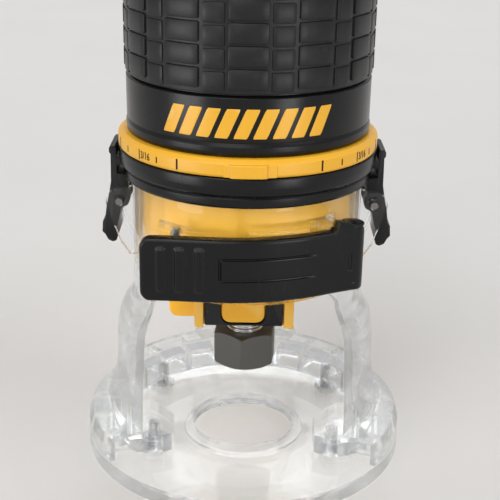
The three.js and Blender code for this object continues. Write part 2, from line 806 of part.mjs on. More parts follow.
const SLOTS = 12;
const slotAngles = Array.from({ length: SLOTS }, (_, i) => (i * 360) / SLOTS);

function armatureCore() {
  const slots = slotAngles.map((angle) =>
    block(-1.5, 1.5, -20, -9.6, 100, 160).rotateZ(angle * DEG),
  );
  return cut(tube(4.9, 16.3, CORE.z0, CORE.z1), ...slots);
}

function armatureWinding() {
  const bars = slotAngles.map((angle) =>
    block(-1.2, 1.2, -14.6, -10, CORE.z0 - 2, CORE.z1 + 2).rotateZ(angle * DEG),
  );
  const lowEnd = turned([[6, 109], [12, 108.4], [15, 110.5], [15, 114.7], [6, 114.7]], 24);
  const highEnd = turned([[6, 151.3], [15, 151.3], [15, 155.5], [12, 157.5], [6, 157]], 24);
  return join(lowEnd, highEnd, ...bars);
}

const commutatorProfile = [
  [4.9, COMMUTATOR.z0],
  [12, COMMUTATOR.z0],
  [12, 162.2],
  [COMMUTATOR.r, 162.4],
  [COMMUTATOR.r, COMMUTATOR.z1],
  [4.9, COMMUTATOR.z1],
];

add(rotor, "spindle", spindle(), chrome);
add(rotor, "collet", collet(), steel);
add(rotor, "collet_nut", colletNut(), blackOxide);
add(rotor, "lock_collar", lockCollar(), steel);
add(rotor, "cooling_fan", fan(), blackPlastic);
add(rotor, "armature_core", armatureCore(), lamination);
add(rotor, "armature_winding", armatureWinding(), copper);
add(rotor, "commutator", turned(commutatorProfile, 24), copper);

export default router;
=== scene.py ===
import math

import bmesh
import bpy
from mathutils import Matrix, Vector


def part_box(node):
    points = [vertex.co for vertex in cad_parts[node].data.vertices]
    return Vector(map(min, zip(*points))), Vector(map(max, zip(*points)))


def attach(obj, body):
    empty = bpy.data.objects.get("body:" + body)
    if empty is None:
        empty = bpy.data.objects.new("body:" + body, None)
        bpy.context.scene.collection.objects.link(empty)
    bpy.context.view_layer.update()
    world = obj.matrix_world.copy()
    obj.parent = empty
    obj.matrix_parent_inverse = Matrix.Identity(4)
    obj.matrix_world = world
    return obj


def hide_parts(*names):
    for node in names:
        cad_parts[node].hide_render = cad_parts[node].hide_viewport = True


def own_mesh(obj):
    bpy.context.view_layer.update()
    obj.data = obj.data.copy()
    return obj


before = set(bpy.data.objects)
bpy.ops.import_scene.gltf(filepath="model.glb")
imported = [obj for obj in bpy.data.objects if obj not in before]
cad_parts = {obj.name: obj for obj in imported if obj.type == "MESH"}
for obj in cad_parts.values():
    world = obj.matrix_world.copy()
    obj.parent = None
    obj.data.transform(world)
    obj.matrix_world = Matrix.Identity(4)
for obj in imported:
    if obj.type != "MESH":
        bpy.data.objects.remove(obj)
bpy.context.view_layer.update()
mm = 0.001  # sizes below are in millimetres, meshes are made in metres


# mesh helpers

def newPiece(name, verts, faces):
    mesh = bpy.data.meshes.new(name)
    mesh.from_pydata([Vector(v) * mm for v in verts], [], faces)
    piece = bpy.data.objects.new(name, mesh)
    bpy.context.scene.collection.objects.link(piece)
    tidyMesh(piece)
    return piece


def tidyMesh(piece):  # closes seams and poles, then turns the faces outwards
    work = bmesh.new()
    work.from_mesh(piece.data)
    bmesh.ops.remove_doubles(work, verts=work.verts, dist=0.0005 * mm)
    bmesh.ops.dissolve_degenerate(work, edges=work.edges, dist=0.0002 * mm)
    bmesh.ops.recalc_face_normals(work, faces=work.faces)
    work.to_mesh(piece.data)
    work.free()


def closeUp(piece):  # mends the slivers that a cut or a soft edge leaves
    work = bmesh.new()
    work.from_mesh(piece.data)
    bmesh.ops.remove_doubles(work, verts=work.verts, dist=0.002 * mm)
    bmesh.ops.dissolve_degenerate(work, edges=work.edges, dist=0.001 * mm)
    bmesh.ops.delete(work, geom=[e for e in work.edges if not e.link_faces], context="EDGES")
    bmesh.ops.holes_fill(work, edges=[e for e in work.edges if e.is_boundary])
    work.to_mesh(piece.data)
    work.free()
    piece.data.validate()
    return piece


def smooth(piece, angle=32):
    piece.data.shade_smooth()
    piece.data.set_sharp_from_angle(angle=math.radians(angle))
    return piece


def applyAll(piece):  # the evaluated mesh takes the place of the modifiers
    graph = bpy.context.evaluated_depsgraph_get()
    mesh = bpy.data.meshes.new_from_object(piece.evaluated_get(graph))
    piece.modifiers.clear()
    piece.data = mesh
    return piece


def discard(*things):
    for thing in things:
        bpy.data.objects.remove(thing)


def combine(name, parts):  # several closed parts as one piece
    work = bmesh.new()
    for part in parts:
        work.from_mesh(part.data)
    mesh = bpy.data.meshes.new(name)
    work.to_mesh(mesh)
    work.free()
    piece = bpy.data.objects.new(name, mesh)
    bpy.context.scene.collection.objects.link(piece)
    discard(*parts)
    return piece


def boolean(piece, tools, operation="DIFFERENCE"):
    for tool in tools:
        modifier = piece.modifiers.new("boolean", "BOOLEAN")
        modifier.operation = operation
        modifier.solver = "EXACT"
        modifier.object = tool
    applyAll(piece)
    discard(*tools)
    return piece


def rounded(points, steps=5):  # corners given as (x, y, radius) become arcs
    ring = []
    count = len(points)
    for i, point in enumerate(points):
        corner = Vector(point[:2])
        if len(point) < 3:
            ring.append(corner)
            continue
        before = Vector(points[i - 1][:2]) - corner
        after = Vector(points[(i + 1) % count][:2]) - corner
        half = before.angle(after) / 2
        if abs(math.pi / 2 - half) < 0.03 or half < 0.03:  # nearly straight, or folded back
            ring.append(corner)
            continue
        room = 0.49 * min(before.length, after.length)  # under half a side, so that arcs never meet
        reach = min(point[2] / math.tan(half), room)
        radius = reach * math.tan(half)
        middle = corner + (before.normalized() + after.normalized()).normalized() * radius / math.sin(half)
        start = corner + before.normalized() * reach - middle
        turn = start.angle_signed(corner + after.normalized() * reach - middle)
        for k in range(steps + 1):
            angle = -turn * k / steps
            ring.append(middle + Vector((
                start.x * math.cos(angle) - start.y * math.sin(angle),
                start.x * math.sin(angle) + start.y * math.cos(angle),
            )))
    return [(p.x, p.y) for p in ring]


def polar(radius, angle):  # degrees from the front, towards +X
    return radius * math.sin(math.radians(angle)), -radius * math.cos(math.radians(angle))


def arc(x, y, radius, start, end, step, heading=0):  # angles in degrees
    angles = [math.radians(a + heading) for a in range(start, end, step)]
    return [(x + radius * math.cos(a), y + radius * math.sin(a)) for a in angles]


def circle(x, y, radius, count=21, step=0.3):  # 21 steps of 0.3 radians go once round
    angles = [step * k for k in range(count)]
    return [(x + radius * math.cos(a), y + radius * math.sin(a)) for a in angles]


def mirrored(outline, sign):  # the outline for the +X side, or its mirror image
    return [(sign * point[0], *point[1:]) for point in outline]


def turned(name, profile, steps=128, cornerSteps=5, at=(0, 0)):  # an (r, z) outline turned about Z
    ring = rounded(profile, cornerSteps)
    count = len(ring)
    verts, faces = [], []
    for i in range(steps):
        for radius, z in ring:
            x, y = polar(radius, 360 * i / steps)
            verts.append((x + at[0], y + at[1], z))
    for i in range(steps):
        for j in range(count):
            k, m = (i + 1) % steps, (j + 1) % count
            faces.append((i * count + j, k * count + j, k * count + m, i * count + m))
    return newPiece(name, verts, faces)


def prism(name, outline, low, high, axis="z", edge=0.0):  # an outline given thickness along an axis
    ring = rounded(outline)
    count = len(ring)
    place = {
        "z": lambda a, b, h: (a, b, h),
        "y": lambda a, b, h: (a, h, b),
        "x": lambda a, b, h: (h, a, b),
    }[axis]
    verts = [place(a, b, h) for h in (low, high) for a, b in ring]
    faces = [tuple(range(count)), tuple(range(count, 2 * count))]
    faces += [(i, (i + 1) % count, (i + 1) % count + count, i + count) for i in range(count)]
    piece = newPiece(name, verts, faces)
    if edge:
        work = bmesh.new()
        work.from_mesh(piece.data)
        rims = [e for f in work.faces if len(f.verts) == count and count > 4 for e in f.edges]
        if count == 4:
            rims = list(work.edges)
        bmesh.ops.bevel(
            work, geom=list(set(rims)), offset=edge * mm, segments=3, profile=0.5, affect="EDGES",
            clamp_overlap=True,
        )
        work.to_mesh(piece.data)
        work.free()
    return piece


def box(name, x0, x1, y0, y1, z0, z1, edge=0.0):
    return prism(name, [(x0, y0), (x1, y0), (x1, y1), (x0, y1)], z0, z1, "z", edge)


def softEdges(piece, width, angle=40):
    bevel = piece.modifiers.new("softEdges", "BEVEL")
    bevel.width = width * mm
    bevel.segments = 3
    bevel.limit_method = "ANGLE"
    bevel.angle_limit = math.radians(angle)
    bevel.use_clamp_overlap = True
    bevel.harden_normals = False
    applyAll(piece)
    return piece


def ringBlock(name, r0, r1, start, end, low, top, steps=24):  # a stretch of ring, its top a height or a rule
    verts, faces = [], []
    for i in range(steps + 1):
        angle = start + (end - start) * i / steps
        height = top(angle) if callable(top) else top
        for radius, z in ((r0, low), (r1, low), (r1, height), (r0, height)):
            verts.append((*polar(radius, angle), z))
    for i in range(steps):
        for j in range(4):
            k = (j + 1) % 4
            faces.append((4 * i + j, 4 * i + 4 + j, 4 * i + 4 + k, 4 * i + k))
    faces += [(0, 1, 2, 3), tuple(4 * steps + j for j in (3, 2, 1, 0))]
    return newPiece(name, verts, faces)


def step01(value, low, high):
    t = min(max((value - low) / (high - low), 0), 1)
    return t * t * (3 - 2 * t)


def plateau(value, low, lowEnd, highStart, high):  # 1 in the middle, sloping to 0 at low and at high
    return step01(value, low, lowEnd) * (1 - step01(value, highStart, high))


def spaced(low, high, edge, count, fine=5):  # positions close together inside both edges
    near = [edge * (1 - math.cos(math.pi * k / (2 * fine))) for k in range(fine)]
    middle = [low + edge + (high - low - 2 * edge) * k / count for k in range(count + 1)]
    return [low + n for n in near] + middle + [high - n for n in reversed(near)]


def facedSlab(name, path, start, end, low, high, thick, edge, corner, columns, rows, relief=None, fine=5):
    # a slab along a plan path, with a rounded rim and corners and a relief on its outer face
    def level(limit, s):
        return limit(s) if callable(limit) else limit

    fractions = spaced(0, 1, edge / (level(high, start) - level(low, start)), rows, fine)
    outer, inner = [], []
    for t in fractions:
        tall = level(high, start) - level(low, start)
        fromEnd = min(t, 1 - t) * tall
        inset = corner - math.sqrt(max(corner**2 - max(corner - fromEnd, 0) ** 2, 0))
        for s in spaced(start + inset, end - inset, edge, columns, fine):
            z = level(low, s) + t * (level(high, s) - level(low, s))
            depth = min(s - start - inset, end - inset - s, z - level(low, s), level(high, s) - z)
            drop = edge - math.sqrt(max(edge**2 - max(edge - max(depth, 0), 0) ** 2, 0))
            x, y, nx, ny = path(s)
            out = thick - drop + (relief(s, z) if relief else 0)
            outer.append((x + nx * out, y + ny * out, z))
            inner.append((x, y, z))
    across = columns + 2 * fine + 1
    down = len(fractions)
    verts = outer + inner
    faces = []
    for j in range(down - 1):
        for i in range(across - 1):
            a = j * across + i
            faces.append((a, a + 1, a + across + 1, a + across))
            b = a + len(outer)
            faces.append((b, b + across, b + across + 1, b + 1))
    rim = list(range(across))
    rim += [j * across + across - 1 for j in range(1, down)]
    rim += [(down - 1) * across + i for i in range(across - 2, -1, -1)]
    rim += [j * across for j in range(down - 2, 0, -1)]
    for a, b in zip(rim, rim[1:] + rim[:1]):
        faces.append((a, b, b + len(outer), a + len(outer)))
    return newPiece(name, verts, faces)


def roundPath(radius):  # a plan path round the spindle axis, its length counted from the front
    def place(s):
        angle = math.degrees(s / radius)
        x, y = polar(radius, angle)
        return x, y, x / radius, y / radius
    return place


# one tree repeats an item about the axis or along a line

def repeatTree():
    tree = bpy.data.node_groups.new("repeatItem", "GeometryNodeTree")
    sides = (
        ("Item", "NodeSocketObject"),
        ("Count", "NodeSocketInt"),
        ("First Angle", "NodeSocketFloat"),
        ("Angle Step", "NodeSocketFloat"),
        ("Offset Step", "NodeSocketVector"),
        ("Finish", "NodeSocketMaterial"),
    )
    for title, kind in sides:
        tree.interface.new_socket(title, in_out="INPUT", socket_type=kind)
    tree.interface.new_socket("Geometry", in_out="OUTPUT", socket_type="NodeSocketGeometry")
    make, link = tree.nodes.new, tree.links.new
    given = make("NodeGroupInput").outputs
    line = make("GeometryNodeMeshLine")
    link(given["Count"], line.inputs["Count"])
    link(given["Offset Step"], line.inputs["Offset"])
    angle = make("ShaderNodeMath")
    angle.operation = "MULTIPLY_ADD"
    link(make("GeometryNodeInputIndex").outputs[0], angle.inputs[0])
    link(given["Angle Step"], angle.inputs[1])
    link(given["First Angle"], angle.inputs[2])
    turn = make("ShaderNodeCombineXYZ")
    link(angle.outputs[0], turn.inputs["Z"])
    item = make("GeometryNodeObjectInfo")
    link(given["Item"], item.inputs["Object"])
    copies = make("GeometryNodeInstanceOnPoints")
    link(line.outputs["Mesh"], copies.inputs["Points"])
    link(item.outputs["Geometry"], copies.inputs["Instance"])
    link(turn.outputs[0], copies.inputs["Rotation"])
    whole = make("GeometryNodeRealizeInstances")
    link(copies.outputs[0], whole.inputs[0])
    painted = make("GeometryNodeSetMaterial")
    link(whole.outputs[0], painted.inputs["Geometry"])
    link(given["Finish"], painted.inputs["Material"])
    link(painted.outputs[0], make("NodeGroupOutput").inputs["Geometry"])
    return tree


repeatItem = repeatTree()


def repeated(name, item, count, first=0.0, step=0.0, offset=(0, 0, 0), finish=None):
    carrier = newPiece(name, [], [])
    modifier = carrier.modifiers.new("repeat", "NODES")
    modifier.node_group = repeatItem
    values = {
        "Item": item,
        "Count": count,
        "First Angle": math.radians(first),
        "Angle Step": math.radians(step),
        "Offset Step": [v * mm for v in offset],
        "Finish": finish,
    }
    for socket in repeatItem.interface.items_tree:
        if socket.in_out == "INPUT" and values[socket.name] is not None:
            modifier[socket.identifier] = values[socket.name]
    applyAll(carrier)
    discard(item)
    return carrier


# shader helpers

class Wire:  # a socket that takes part in sums
    def __init__(self, tree, socket):
        self.tree, self.socket = tree, socket

    def sum(self, operation, first, second):
        node = self.tree.nodes.new("ShaderNodeMath")
        node.operation = operation
        for slot, value in zip(node.inputs, (first, second)):
            if isinstance(value, Wire):
                self.tree.links.new(value.socket, slot)
            else:
                slot.default_value = value
        return Wire(self.tree, node.outputs[0])

    def __add__(self, other):
        return self.sum("ADD", self, other)

    def __radd__(self, other):
        return self.sum("ADD", other, self)

    def __sub__(self, other):
        return self.sum("SUBTRACT", self, other)

    def __rsub__(self, other):
        return self.sum("SUBTRACT", other, self)

    def __mul__(self, other):
        return self.sum("MULTIPLY", self, other)

    def __rmul__(self, other):
        return self.sum("MULTIPLY", other, self)


class Finish:  # a material being made
    def __init__(self, name, **fixed):
        self.material = bpy.data.materials.new(name)
        self.material.use_nodes = True
        self.tree = self.material.node_tree
        self.shader = next(n for n in self.tree.nodes if n.type == "BSDF_PRINCIPLED")
        for title, value in fixed.items():
            self.feed(self.shader.inputs[title.replace("_", " ")], value)
        self.place = self.node("ShaderNodeTexCoord", output="Object")

    def feed(self, slot, value):
        if isinstance(value, Wire):
            self.tree.links.new(value.socket, slot)
        else:
            slot.default_value = value

    def node(self, kind, settings=(), output=0, **sockets):
        node = self.tree.nodes.new(kind)
        for title, value in dict(settings).items():
            setattr(node, title, value)
        for title, value in sockets.items():
            key = int(title[1:]) if title[0] == "n" and title[1:].isdigit() else title.replace("_", " ")
            self.feed(node.inputs[key], value)
        return Wire(self.tree, node.outputs[output])

    def noise(self, scale, detail=3, roughness=0.5, vector=None):
        return self.node(
            "ShaderNodeTexNoise", Vector=vector or self.place, Scale=scale, Detail=detail,
            Roughness=roughness,
        )

    def waves(self, direction, scale, distortion):
        return self.node(
            "ShaderNodeTexWave", {"bands_direction": direction}, output=1, Vector=self.place, Scale=scale,
            Distortion=distortion,
        )

    def stretched(self, scale):  # object coordinates with another scale along each axis
        return self.node("ShaderNodeMapping", Vector=self.place, Scale=scale)

    def blend(self, factor, first, second):
        return self.node(
            "ShaderNodeMix", {"data_type": "RGBA"}, output=2, n0=factor, n6=(*first, 1), n7=(*second, 1)
        )

    def ramp(self, value, low, high):  # 0 below low, 1 above high
        return self.node("ShaderNodeMapRange", Value=value, From_Min=low, From_Max=high)

    def bump(self, height, distance, strength=1.0):
        normal = self.node("ShaderNodeBump", Height=height, Distance=distance, Strength=strength)
        self.feed(self.shader.inputs["Normal"], normal)

    def set(self, **values):
        for title, value in values.items():
            self.feed(self.shader.inputs[title.replace("_", " ")], value)


def mouldedPlastic(name, colour, worn, rough=0.3, grain=0.012, ior=1.5):
    finish = Finish(name, IOR=ior)
    cloud = finish.ramp(finish.noise(90, 4), 0.3, 0.7)
    rubs = finish.ramp(finish.noise(650, 6, 0.65, finish.stretched((1, 1, 0.25))), 0.6, 0.75)
    edge = finish.ramp(finish.node("ShaderNodeNewGeometry", output="Pointiness"), 0.53, 0.6)
    finish.set(Base_Color=finish.blend(edge * 0.5 + rubs * 0.12, colour, worn))
    finish.set(Roughness=rough + cloud * 0.07 + rubs * 0.12)
    finish.bump(finish.noise(5200, 2) + finish.noise(300, 2) * 1.5, grain * mm)
    return finish.material


def metal(name, colour, rough, streak=(1, 1, 12), dirt=(0.02, 0.018, 0.015), dirtAmount=0.25):
    finish = Finish(name, Metallic=1.0)
    brushed = finish.noise(700, 4, 0.6, finish.stretched(streak))
    stain = finish.ramp(finish.noise(160, 5, 0.6), 0.55, 0.8)
    finish.set(Base_Color=finish.blend(stain * dirtAmount, colour, dirt))
    finish.set(Roughness=rough + brushed * 0.12 + stain * 0.15)
    finish.bump(brushed, 0.006 * mm)
    return finish.material


clearLook = {"ior": 1.22, "coat": 0.35, "coatIor": 1.5, "straightShare": 0.28}


def clearPlastic():
    finish = Finish(
        "polycarbonate", IOR=clearLook["ior"], Transmission_Weight=1.0, Coat_Weight=clearLook["coat"],
        Coat_IOR=clearLook["coatIor"],
    )
    haze = finish.ramp(finish.noise(130, 5, 0.6), 0.45, 0.8)
    scuffs = finish.ramp(finish.noise(900, 3, 0.7, finish.stretched((1, 1, 0.12))), 0.66, 0.76)
    finish.set(Base_Color=finish.blend(haze * 0.6, (0.985, 0.99, 0.99), (0.94, 0.955, 0.95)))
    finish.set(Roughness=0.008 + haze * 0.02 + scuffs * 0.1)
    finish.bump(finish.noise(120, 2), 0.02 * mm, 0.5)
    # a share of the light and every shadow ray go straight through, so that light reaches what lies inside
    straight = finish.node("ShaderNodeBsdfTransparent", Color=(0.97, 0.975, 0.975, 1))
    solid = Wire(finish.tree, finish.shader.outputs[0])
    thin = finish.node("ShaderNodeMixShader", n0=clearLook["straightShare"], n1=solid, n2=straight)
    shadow = finish.node("ShaderNodeLightPath", output="Is Shadow Ray")
    mixed = finish.node("ShaderNodeMixShader", n0=shadow, n1=thin, n2=straight)
    output = next(n for n in finish.tree.nodes if n.type == "OUTPUT_MATERIAL")
    finish.feed(output.inputs["Surface"], mixed)
    return finish.material


def rubberFinish():
    finish = Finish("gripRubber", IOR=1.4)
    dust = finish.ramp(finish.noise(240, 6, 0.7), 0.5, 0.8)
    finish.set(Base_Color=finish.blend(dust * 0.5, (0.009, 0.009, 0.0095), (0.028, 0.027, 0.026)))
    finish.set(Roughness=0.36 + dust * 0.16)
    finish.bump(finish.noise(3800, 3, 0.6), 0.03 * mm)
    return finish.material


def laminatedSteel():
    finish = Finish("laminatedSteel", Metallic=1.0)
    sheets = finish.waves("Z", 320, 0.2)
    rust = finish.ramp(finish.noise(200, 5), 0.5, 0.8)
    finish.set(Base_Color=finish.blend(rust * 0.4, (0.28, 0.28, 0.29), (0.16, 0.11, 0.08)))
    finish.set(Roughness=0.4 + rust * 0.2)
    finish.bump(sheets, 0.06 * mm)
    return finish.material


def woundCopper():
    finish = Finish("woundCopper", Metallic=0.85)
    strands = finish.waves("DIAGONAL", 260, 1.5)
    varnish = finish.ramp(finish.noise(300, 4), 0.4, 0.7)
    finish.set(Base_Color=finish.blend(varnish, (0.55, 0.2, 0.07), (0.3, 0.08, 0.03)))
    finish.set(Roughness=0.26 + varnish * 0.2)
    finish.bump(strands, 0.12 * mm)
    return finish.material


clear = clearPlastic()
yellow = mouldedPlastic("yellowPlastic", (0.975, 0.5, 0.025), (0.99, 0.66, 0.16), 0.3, 0.01)
black = mouldedPlastic("blackPlastic", (0.0045, 0.0045, 0.005), (0.035, 0.035, 0.037), 0.22, 0.01, ior=1.36)
satinBlack = mouldedPlastic(
    "satinBlack", (0.006, 0.006, 0.0062), (0.035, 0.035, 0.035), 0.34, 0.02, ior=1.36
)
rubber = rubberFinish()
blackOxide = metal("blackOxide", (0.125, 0.122, 0.115), 0.46, (1, 1, 6), (0.2, 0.19, 0.175), 0.35)
steel = metal("groundSteel", (0.55, 0.55, 0.56), 0.2)
chrome = metal("spindleChrome", (0.78, 0.78, 0.78), 0.08, (1, 1, 30), (0.2, 0.18, 0.15), 0.3)
springWire = metal("springWire", (0.22, 0.215, 0.2), 0.3)
brass = metal("brass", (0.62, 0.42, 0.15), 0.25)
laminations = laminatedSteel()
copper = woundCopper()
carbon = mouldedPlastic("pressedCarbon", (0.02, 0.02, 0.021), (0.09, 0.09, 0.09), 0.55, 0.05)
circuit = mouldedPlastic("pottedBoard", (0.03, 0.13, 0.06), (0.1, 0.22, 0.1), 0.4, 0.03)
ink = mouldedPlastic("scaleInk", (0.012, 0.008, 0.004), (0.03, 0.02, 0.012), 0.6, 0.004, ior=1.3)
print("finishes made")


def finishPiece(piece, finish, body, slotName, *nodes, angle=32):
    piece.data.materials.clear()
    piece.data.materials.append(finish)
    smooth(piece, angle)
    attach(piece, body)
    if nodes:
        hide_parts(*nodes)
    return piece


# clear base

base = {
    "rimRadius": 46.6,
    "sleeveRadius": 32.2,
    "bore": 30.4,
    "boreLow": 56.8,
    "windowTop": 56.5,
    "frontWindow": 54,
    "rearColumn": 24,
    "legRear": 112,
    "sill": 16,
    "windowCut": (24, 90),
    "pockets": 24,
    "pocketHalf": 6.1,
    "pocketRadii": (37.4, 44.8),
    "pocketHeights": (3, 11.2),
    "bossHeights": (0.6, 11.4),
    "lugHeights": ((74.9, 77), (60.3, 63.1), (77.3, 79.3)),
    "earHeights": ((61.6, 63.4), (74.6, 76.2)),
    "earRadius": 2.3,
    "latchLugs": ((7, 9), (-9, -7)),
    "slit": (-2.45, -0.15),
    "pivotHole": 1.3,
    "anchorHole": 1.5,
    "springHole": 1.2,
    "screwHole": 1.8,
    "latchHole": 1.35,
    "edge": 0.35,
}
leverPivot = (27.9, -22.9)
strapAnchor = (-18, -29.6)
springAnchor = (17.5, -29.8)
latchPivot = (35.3, 77)
screwPlaces = ((-26, -13.5), (26, -13.5), (-27, 27), (27, 27))
baseLow, baseHigh = (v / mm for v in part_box("base_housing"))


def archTop(start, end, high, corner):  # the height of a window with round top corners
    def height(angle):
        fromEdge = math.radians(min(angle - start, end - angle)) * 36  # along the middle of the wall
        rest = max(corner - fromEdge, 0)
        return high - corner + math.sqrt(max(corner**2 - rest**2, 0))
    return height


def windowTool(start, end, low, high, corner):
    return ringBlock("window", *base["windowCut"], start, end, low, archTop(start, end, high, corner), 60)


def hole(name, radius, low, high, steps=24, at=(0, 0)):  # an upright cutter
    return turned(name, [(0, low), (radius, low), (radius, high), (0, high)], steps, at=at)


def earPlate(centre, radius, low, high):
    away = Vector(centre).normalized()
    root = away * 31
    side = Vector((-away.y, away.x)) * radius
    tip = arc(*centre, radius, -90, 91, 12, math.degrees(math.atan2(away.y, away.x)))
    return prism("earPlate", [*tip, tuple(root + side), tuple(root - side)], low, high)


def latchLug(sign, low, high):
    eye = arc(*latchPivot, 3.6, -20, 106, 9)
    outline = [(30.9, 61.5), (32.6, 61.6, 0.6), (35.2, 65.5, 3), *eye, (30.9, 81.6)]
    return prism("latchLug", mirrored(outline, sign), low, high, "y")


def sleeveLugs():
    left = [(-23, -21), (-23, -29.5, 2), (-20, -31.9, 2), (-12, -32.3), (-2.8, -32.6), (-2.8, -29)]
    right = [
        (1, -29), (1, -35.4, 0.5), (7, -34.9, 8), (14, -32.8, 8), (20, -29.5, 4), (23.2, -27, 1),
        (23.2, -20),
    ]
    outlines = (left, left, right)
    return [prism("sleeveLug", plan, *heights) for plan, heights in zip(outlines, base["lugHeights"])]


def footBoss(sign):
    plan = [
        (36, -4, 1), (29, -1, 2), (25.6, -4, 2), (20.5, -10.5, 0.8), (20.5, -21, 0.8), (26, -24, 2),
        (36, -20),
    ]
    lift, top = base["bossHeights"]
    return prism("boss", mirrored(plan, sign), baseLow.z + lift, top)


def clearBase():
    shell = turned("clearBase", [
        (base["rimRadius"], baseLow.z, 0.4),
        (base["rimRadius"], 9.6, 1.5),
        (45.6, 12, 3),
        (43.4, 14.4, 4),
        (41, 17, 4),
        (39.6, 19.8, 4),
        (38.3, 23.2, 6),
        (37.6, 28.9, 12),
        (37.4, 37.1, 12),
        (36.6, 42.6, 6),
        (35.4, 45.2, 4),
        (33.6, 47.6, 3),
        (32.5, 51, 5),
        (base["sleeveRadius"], 56.5, 3),
        (base["sleeveRadius"], baseHigh.z, 0.4),
        (base["bore"], baseHigh.z, 0.3),
        (base["bore"], 56.5, 2),
        (31.6, 48, 6),
        (33.2, 44.5, 4),
        (34.2, 41, 6),
        (34.6, 36, 8),
        (35.4, 20, 8),
        (35.6, baseLow.z),
    ], 144, 4)
    sideTop = base["windowTop"] - 2
    boolean(shell, [
        windowTool(-base["frontWindow"], base["frontWindow"], 0, base["windowTop"], 8),
        windowTool(base["legRear"], 180 - base["rearColumn"], base["sill"], sideTop, 6),
        windowTool(180 + base["rearColumn"], 360 - base["legRear"], base["sill"], sideTop, 6),
    ])
    half, step = base["pocketHalf"], 360 / base["pockets"]
    pocket = ringBlock("pocket", *base["pocketRadii"], -half, half, *base["pocketHeights"], 6)
    boolean(shell, [repeated("pockets", pocket, base["pockets"], step / 2, step)])
    parts = sleeveLugs()
    parts += [earPlate(leverPivot, base["earRadius"], *heights) for heights in base["earHeights"]]
    for sign in (1, -1):
        parts += [latchLug(sign, *sides) for sides in base["latchLugs"]]
        parts.append(footBoss(sign))
    boolean(shell, parts, "UNION")
    tools = [
        box("slit", *base["slit"], -40, -28, 50, 90),
        hole("bore", base["bore"], base["boreLow"], 90, 144),
        ringBlock("strapRecess", 31.4, 33.6, -36, 60, 63.4, 74.55),
        hole("pivotHole", base["pivotHole"], 58, 80, at=leverPivot),
        hole("anchorHole", base["anchorHole"], 58, 80, at=strapAnchor),
        hole("springHole", base["springHole"], 76, 81, at=springAnchor),
    ]
    tools += [hole("screwHole", base["screwHole"], 0, 10.4, at=place) for place in screwPlaces]
    for sign in (1, -1):
        outline = circle(sign * latchPivot[0], latchPivot[1], base["latchHole"], 24, math.pi / 12)
        tools.append(prism("latchHole", outline, -12, 12, "y"))
    boolean(shell, tools)
    return closeUp(softEdges(shell, base["edge"], 50))


finishPiece(clearBase(), clear, "base", "clear_plastic", "base_housing", angle=38)
print("clear base made")

subBase = {
    "radius": 46.75,
    "bitHole": 15.1,
    "recess": 18,
    "notch": 1.3,
    "notchTurn": 24,
    "head": 3.9,
    "seat": 2.6,
}


def clearSubBase():
    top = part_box("sub_base")[1].z / mm
    piece = turned("clearSubBase", [
        (subBase["recess"], 0, 0.3),
        (subBase["radius"] - 0.8, 0, 0.4),
        (subBase["radius"], 0.9, 0.5),
        (subBase["radius"], top - 0.7, 0.4),
        (subBase["radius"] - 0.6, top, 0.3),
        (subBase["bitHole"] + 0.5, top, 0.3),
        (subBase["bitHole"], top - 0.6, 0.3),
        (subBase["bitHole"], 1.6),
        (subBase["recess"], 1.6),
    ], 160, 3)
    tools = []
    for side in (-1, 1):
        place = polar(subBase["bitHole"], 180 + side * subBase["notchTurn"])
        tools.append(hole("notch", subBase["notch"], -1, 7, 20, place))
    head, seat = subBase["head"], subBase["seat"]
    screwSeat = [(0, -1), (head, -1), (head, seat), (2, seat), (2, 7), (0, 7)]
    tools += [turned("screwSeat", screwSeat, 32, at=place) for place in screwPlaces]
    return boolean(piece, tools)


finishPiece(clearSubBase(), clear, "base", "clear_plastic", "sub_base")
print("sub-base made")


# ring carrier and depth ring

carrier = {"radius": 35.7, "bore": 30.5, "low": 84.8, "skirtLow": 83.9, "high": 92.2}


def ringCarrier():
    piece = turned("ringCarrier", [
        (carrier["bore"], carrier["low"], 0.3),
        (32.7, carrier["low"], 0.2),
        (33.0, carrier["skirtLow"], 0.2),
        (34.1, carrier["skirtLow"], 0.4),
        (34.5, 84.6, 0.5),
        (34.5, 86.4, 0.15),
        (34.25, 86.7, 0.1),
        (34.5, 87.0, 0.2),
        (35.5, 87.7, 1.2),
        (carrier["radius"], 89.6, 1.5),
        (carrier["radius"], carrier["high"], 0.4),
        (carrier["bore"], carrier["high"], 0.3),
    ], 160, 4)
    pockets = []
    for sign in (-1, 1):
        for near, low, high in ((34, 86.2, 89.7), (31, 83, 84.81)):
            pockets.append(box("pocket", *sorted((sign * near, sign * 37)), -6.9, 6.9, low, high))
    return boolean(piece, pockets)


finishPiece(ringCarrier(), black, "base", "black_plastic", "ring_carrier")

ring = {
    "radius": 35.8,
    "bore": 30.5,
    "low": 92.5,
    "high": 97.0,
    "firstMark": 32.2,
    "markStep": 10.65,
    "labels": {2: "3/16", 6: "1/8", 10: "1/16", 14: "0", 18: "1/16", 22: "1/8", 26: "3/16"},
    "digitHeight": 2.0,
    "inkHeight": 0.04,
}


def tabRelief(s, z):  # a block with sloping sides on a low step
    return 0.75 * plateau(s, -4.5, -3.6, 4.6, 5.5)


def depthRing():
    body = turned("body", [
        (ring["bore"], ring["low"], 0.3),
        (ring["radius"] - 0.35, ring["low"], 0.2),
        (ring["radius"], ring["low"] + 0.6, 0.4),
        (ring["radius"], ring["high"] - 1.0, 0.5),
        (ring["radius"] - 1.3, ring["high"], 0.6),
        (ring["bore"] + 0.6, ring["high"], 0.3),
        (ring["bore"], ring["high"] - 0.6, 0.3),
    ], 180)
    tab = facedSlab(
        "tab", roundPath(35.2), -5.8, 7.6, ring["low"] + 0.05, 96.0, 0.85, 0.3, 0.4, 40, 8, tabRelief
    )
    return combine("depthRing", [body, tab])


